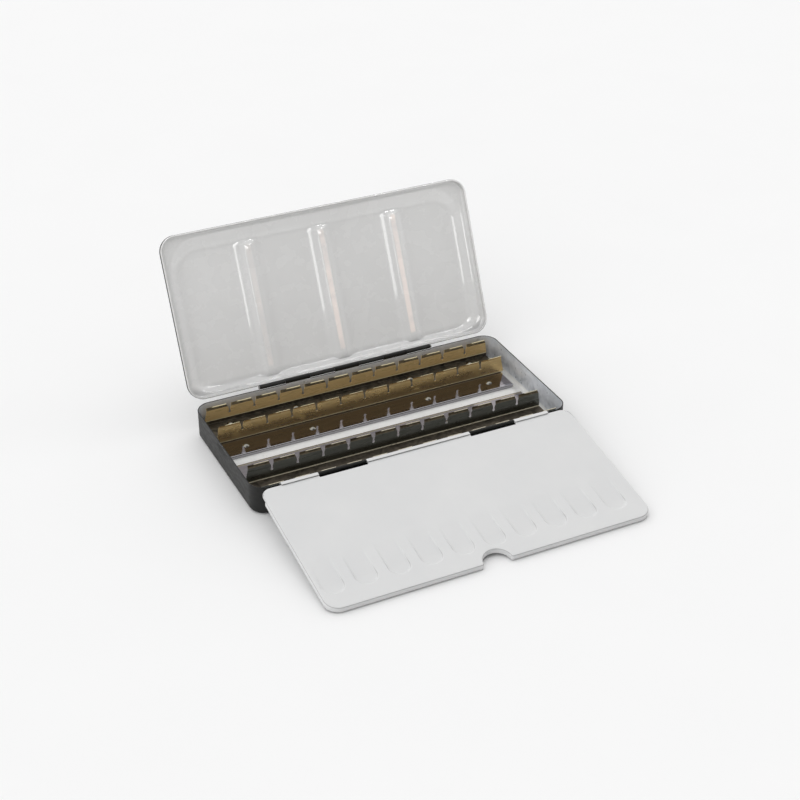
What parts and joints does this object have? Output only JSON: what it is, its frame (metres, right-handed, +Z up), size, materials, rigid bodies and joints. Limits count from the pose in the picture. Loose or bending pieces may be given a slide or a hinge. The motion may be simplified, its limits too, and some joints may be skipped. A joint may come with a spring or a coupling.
{
  "type": "watercolour pan box",
  "caption": "Empty enamelled tin watercolour box with a hinged lid of mixing wells, a fold-out palette with thumb wells, and riveted inserts with sprung tabs that hold half pans.",
  "frame": {"origin": "centre of the tray's footprint, on the table plane that the tray stands on", "axes": "+X along the length of the box, +Y from the palette side to the lid hinge, +Z up"},
  "size_m": [0.2094, 0.2492, 0.1138],
  "materials": {
    "tray_enamel": "satin black outside, bare grey tinplate inside",
    "lid_enamel": "glossy white enamel inside, satin black outside",
    "palette_enamel": "satin white enamel",
    "hinge_wire": "drawn wire",
    "gold_tinplate": "gold-lacquered tinplate, worn",
    "dark_tinplate": "dark lacquered tinplate, glossy",
    "rivet_steel": "polished dome heads"
  },
  "bodies": {
    "tray": {"tray_shell": "tray_enamel", "lid_hinge_pin": "hinge_wire", "palette_hinge_pin": "hinge_wire", "rear_pan_rail": "gold_tinplate", "rear_insert_base": "dark_tinplate", "rear_rail_rivets": "rivet_steel", "rear_gutter_rivets": "rivet_steel", "front_pan_rail": "gold_tinplate", "front_insert_base": "dark_tinplate", "front_rail_rivets": "rivet_steel", "front_gutter_rivets": "rivet_steel"},
    "lid": {"lid_shell": "lid_enamel"},
    "palette": {"mixing_palette": "palette_enamel"}
  },
  "joints": [
    {"name": "lid_hinge", "type": "hinge", "parent": "tray", "child": "lid", "pos_m": [0, 0.0518, 0.01957], "axis": [1, 0, 0], "range_deg": [0, 114]},
    {"name": "palette_hinge", "type": "hinge", "parent": "tray", "child": "palette", "pos_m": [0, -0.0515, 0.01915], "axis": [-1, 0, 0], "range_deg": [0, 188.9]}
  ]
}
